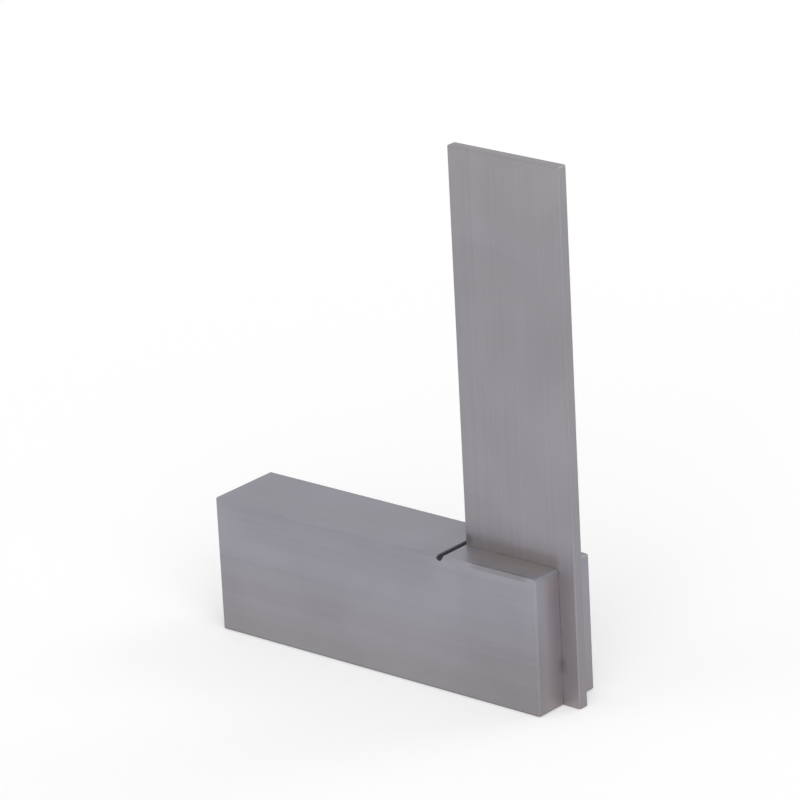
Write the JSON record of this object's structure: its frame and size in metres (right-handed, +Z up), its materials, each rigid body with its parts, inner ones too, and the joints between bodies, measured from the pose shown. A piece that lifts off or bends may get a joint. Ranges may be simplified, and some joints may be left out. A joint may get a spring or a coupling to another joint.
{
  "type": "engineer's try square",
  "caption": "Fixed steel try square: a flat ground blade let into the slotted end of a thick rectangular stock, with a relief groove in the inner corner.",
  "frame": {"origin": "under the middle of the square's overall box, on the face that it stands on", "axes": "+X along the stock towards the blade, +Y through the thickness, +Z up the blade"},
  "size_m": [0.0524, 0.0104, 0.0675],
  "materials": {
    "stock_steel": "fine ground, slightly satin",
    "blade_steel": "fine ground along its length"
  },
  "bodies": {
    "root": {"stock": "stock_steel", "blade": "blade_steel"}
  },
  "joints": []
}
